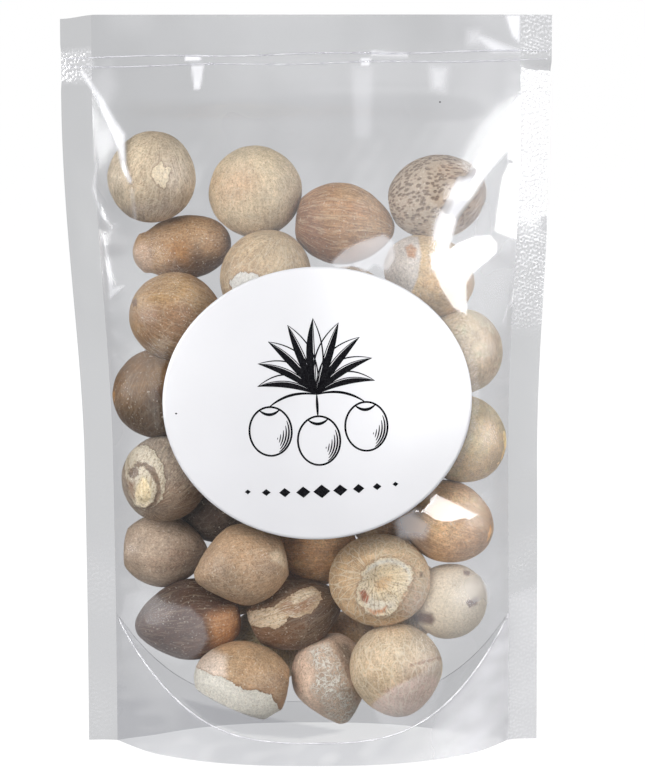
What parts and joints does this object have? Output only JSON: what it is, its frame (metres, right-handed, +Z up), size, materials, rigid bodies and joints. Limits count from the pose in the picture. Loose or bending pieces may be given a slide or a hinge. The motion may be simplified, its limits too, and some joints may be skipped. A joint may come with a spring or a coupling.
{
  "type": "clear stand-up pouch of betel nuts",
  "caption": "Clear zip pouch standing on its opened gusset, full of whole dried betel nuts, with a plain oval paper label on its front.",
  "frame": {"origin": "on the table, under the middle of the standing pouch", "axes": "+Z up to the pouch's mouth, -Y out of the labelled front, +X to the right as seen from the front"},
  "size_m": [0.1505, 0.058, 0.228],
  "materials": {
    "film": "clear glossy film",
    "paper": "smooth white sticker",
    "nut": "dry, finely streaked shell"
  },
  "bodies": {
    "root": {"pouch": "film", "label": "paper"}
  },
  "joints": []
}
